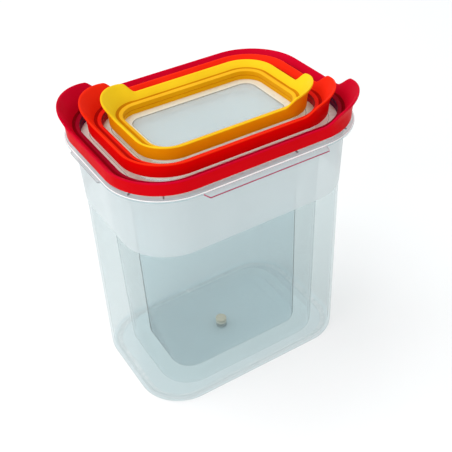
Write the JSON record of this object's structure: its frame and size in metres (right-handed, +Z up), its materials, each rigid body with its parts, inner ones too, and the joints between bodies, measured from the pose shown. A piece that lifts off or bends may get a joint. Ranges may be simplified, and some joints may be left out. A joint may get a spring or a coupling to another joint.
{
  "type": "snap lid food container set",
  "caption": "Nesting clear food containers with soft coloured snap lids, lids stacked in each other's recess and tubs nested inside the outer one.",
  "frame": {"origin": "centre of the large container's foot, on the surface it stands on", "axes": "+Z up, +X along the long side, the front long side faces -Y"},
  "size_m": [0.1764, 0.1418, 0.2063],
  "materials": {
    "tub_clear": "clear polypropylene, fine frost on the collar",
    "lid_clear": "clear gloss",
    "rim_large_red": "soft satin",
    "rim_medium_orange": "soft satin",
    "rim_small_yellow": "soft satin",
    "seal_white": "matte silicone"
  },
  "bodies": {
    "outer_container": {"container_large": "tub_clear", "code_dot_large": "rim_large_red"},
    "middle_container": {"container_medium": "tub_clear", "code_dot_medium": "rim_medium_orange"},
    "inner_container": {"container_small": "tub_clear", "code_dot_small": "rim_small_yellow"},
    "large_lid": {"lid_rim_large": "rim_large_red", "lid_window_large": "lid_clear", "lid_seal_large": "seal_white"},
    "medium_lid": {"lid_rim_medium": "rim_medium_orange", "lid_window_medium": "lid_clear", "lid_seal_medium": "seal_white"},
    "small_lid": {"lid_rim_small": "rim_small_yellow", "lid_window_small": "lid_clear", "lid_seal_small": "seal_white"}
  },
  "joints": [
    {"name": "large_lid_lift", "type": "slide", "parent": "outer_container", "child": "large_lid", "axis": [0, 0, 1], "range_m": [0, 0.42]},
    {"name": "medium_lid_lift", "type": "slide", "parent": "large_lid", "child": "medium_lid", "axis": [0, 0, 1], "range_m": [0, 0.06]},
    {"name": "small_lid_lift", "type": "slide", "parent": "medium_lid", "child": "small_lid", "axis": [0, 0, 1], "range_m": [0, 0.06]},
    {"name": "middle_container_lift", "type": "slide", "parent": "outer_container", "child": "middle_container", "axis": [0, 0, 1], "range_m": [0, 0.19]},
    {"name": "inner_container_lift", "type": "slide", "parent": "middle_container", "child": "inner_container", "axis": [0, 0, 1], "range_m": [0, 0.182]}
  ],
  "couplings": [
    {"joint": "middle_container_lift", "follows": "large_lid_lift", "ratio": 0.45},
    {"joint": "inner_container_lift", "follows": "large_lid_lift", "ratio": 0.43}
  ]
}
